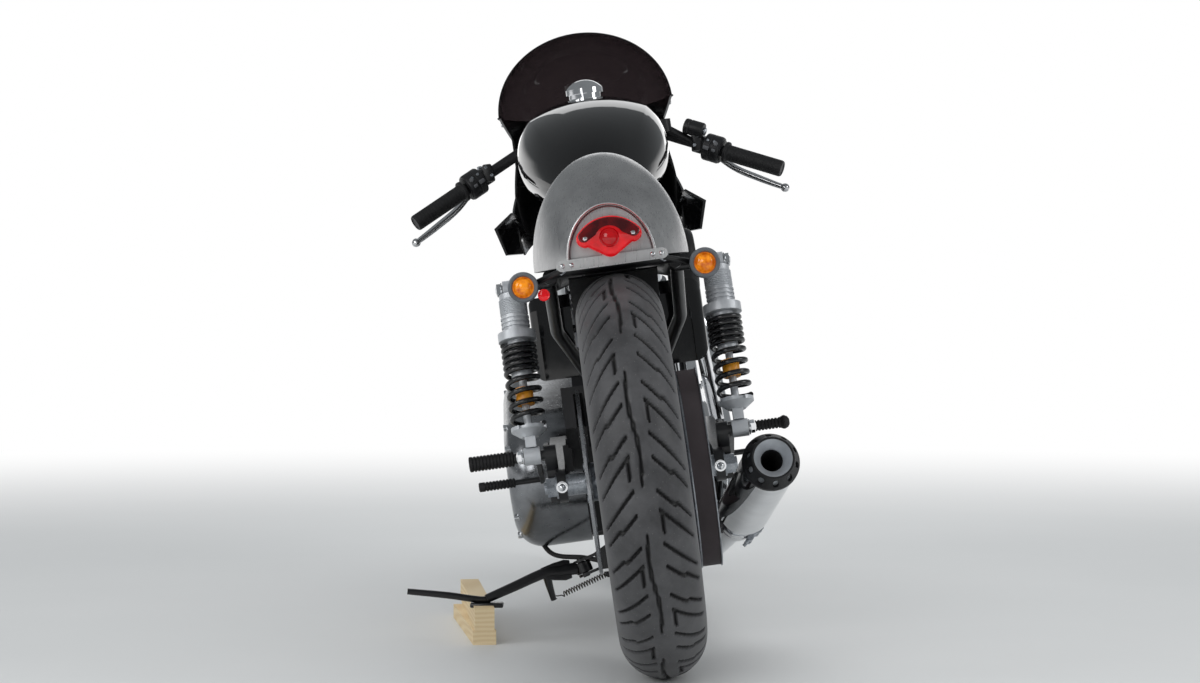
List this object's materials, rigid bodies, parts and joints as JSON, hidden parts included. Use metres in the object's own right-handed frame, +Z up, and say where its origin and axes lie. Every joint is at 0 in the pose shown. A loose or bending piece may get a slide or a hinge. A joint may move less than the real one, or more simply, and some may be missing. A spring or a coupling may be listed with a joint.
{
  "type": "cafe racer motorcycle",
  "caption": "Black and bare-aluminium cafe racer motorcycle with half fairing, belt drive and upswept muffler, leaning on its side stand on wooden battens.",
  "frame": {"origin": "on the floor, under the middle of the leaning motorcycle's footprint box", "axes": "+Y towards the front wheel, +X to the rider's right, +Z up"},
  "size_m": [0.7594, 2.1658, 1.1363],
  "materials": {
    "amber_lens": "moulded amber acrylic",
    "amber_rubber": "amber urethane",
    "belt_rubber": "fabric-faced toothed belt",
    "black_alloy": "wrinkle and satin black paint on cast alloy",
    "black_plastic": "grained black plastic",
    "brushed_alloy": "hand-brushed sheet",
    "cast_alloy": "as cast, satin",
    "chrome": "bright chrome plate",
    "disc_steel": "ground stainless steel",
    "fairing_black": "black gel coat",
    "frame_enamel": "semi-gloss black enamel",
    "peg_rubber": "ribbed black rubber",
    "pine": "rough sawn pale wood",
    "polished_alloy": "polished",
    "red_lens": "moulded red acrylic",
    "seat_leather": "black grained leather",
    "smoked_screen": "dark smoked acrylic",
    "spring_black": "black powder coat on spring wire",
    "steel": "zinc plated and bare steel",
    "tank_paint": "deep gloss black lacquer",
    "tyre_rubber": "treaded black rubber"
  },
  "bodies": {
    "chassis": {"air_cleaner": "chrome", "axle_adjusters": "chrome", "belt_guard": "black_plastic", "bump_stops": "amber_rubber", "crankcase": "cast_alloy", "cylinders": "black_alloy", "drive_belt": "belt_rubber", "drive_pulley": "steel", "exhaust_headers": "chrome", "fairing": "fairing_black", "fairing_stay": "frame_enamel", "foot_controls": "steel", "foot_pegs": "peg_rubber", "frame": "frame_enamel", "fuel_tank": "tank_paint", "headlight": "chrome", "indicator_lenses": "amber_lens", "indicators": "steel", "muffler": "chrome", "muffler_cap": "black_alloy", "muffler_core": "polished_alloy", "overflow_hose": "peg_rubber", "plate_strip": "brushed_alloy", "primary_cover": "polished_alloy", "rear_axle": "steel", "rear_caliper": "cast_alloy", "rear_fender": "black_plastic", "right_covers": "polished_alloy", "screen": "smoked_screen", "seat": "seat_leather", "shock_bodies": "cast_alloy", "shock_rods": "steel", "shock_springs": "spring_black", "side_covers": "black_alloy", "swingarm": "frame_enamel", "tail_cowl": "brushed_alloy", "tail_light": "red_lens", "tank_cap": "chrome", "wood_battens": "pine"},
    "fork": {"triple_clamps": "cast_alloy", "fork_tubes": "chrome", "fork_sliders": "cast_alloy", "front_axle": "steel", "clip_ons": "black_alloy", "grips": "peg_rubber", "switchgear": "black_plastic", "levers": "polished_alloy", "front_fender": "fairing_black", "front_caliper": "black_alloy"},
    "front_wheel_set": {"front_tyre": "tyre_rubber", "front_wheel": "steel", "front_disc": "disc_steel"},
    "rear_wheel_set": {"rear_tyre": "tyre_rubber", "rear_wheel": "steel", "rear_disc": "disc_steel", "rear_pulley": "steel"},
    "stand": {"side_stand": "frame_enamel"}
  },
  "joints": [
    {"name": "steering", "type": "hinge", "parent": "chassis", "child": "fork", "pos_m": [0.00293, 0.45874, 0.73231], "axis": [-0.1175, -0.5, 0.858], "range_deg": [-26.5, 23.5]},
    {"name": "front_wheel_spin", "type": "hinge", "parent": "fork", "child": "front_wheel_set", "pos_m": [0.057, 0.75203, 0.32789], "axis": [0.9886, 0.0227, 0.1486], "continuous": true},
    {"name": "rear_wheel_spin", "type": "hinge", "parent": "chassis", "child": "rear_wheel_set", "pos_m": [0.05972, -0.76296, 0.31768], "axis": [0.9907, 0, 0.1357], "continuous": true},
    {"name": "side_stand_fold", "type": "hinge", "parent": "chassis", "child": "stand", "pos_m": [-0.03294, -0.29296, 0.12467], "axis": [-0.3948, 0.0918, 0.9142], "range_deg": [0, 81]}
  ]
}
